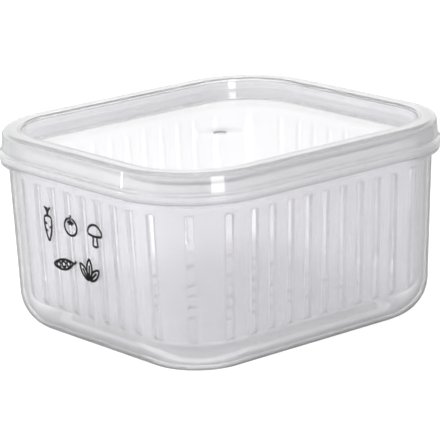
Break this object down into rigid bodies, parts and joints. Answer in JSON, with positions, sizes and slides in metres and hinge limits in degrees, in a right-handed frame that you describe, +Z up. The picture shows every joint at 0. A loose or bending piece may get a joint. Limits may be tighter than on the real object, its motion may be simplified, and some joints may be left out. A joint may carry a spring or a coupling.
{
  "type": "produce storage container",
  "caption": "Clear rounded-rectangle food keeper with a slotted lift-out drain basket and a press-on lid with a sunken panel.",
  "frame": {"origin": "centre of the base, on the surface that the box stands on", "axes": "+Z up; X across the width; Y along the length, with the printed end facing -Y"},
  "size_m": [0.1474, 0.165, 0.0876],
  "materials": {
    "clear_box": "slightly frosted clear polypropylene",
    "clear_basket": "frosted clear polypropylene",
    "clear_lid": "clear polypropylene with a milky rim"
  },
  "bodies": {
    "box": {"outer_box": "clear_box"},
    "basket": {"drain_basket": "clear_basket"},
    "cover": {"lid": "clear_lid"}
  },
  "joints": [
    {"name": "basket_lift", "type": "slide", "parent": "box", "child": "basket", "axis": [0, 0, 1], "range_m": [0, 0.085]},
    {"name": "lid_lift", "type": "slide", "parent": "basket", "child": "cover", "axis": [0, 0, 1], "range_m": [0, 0.06]}
  ]
}
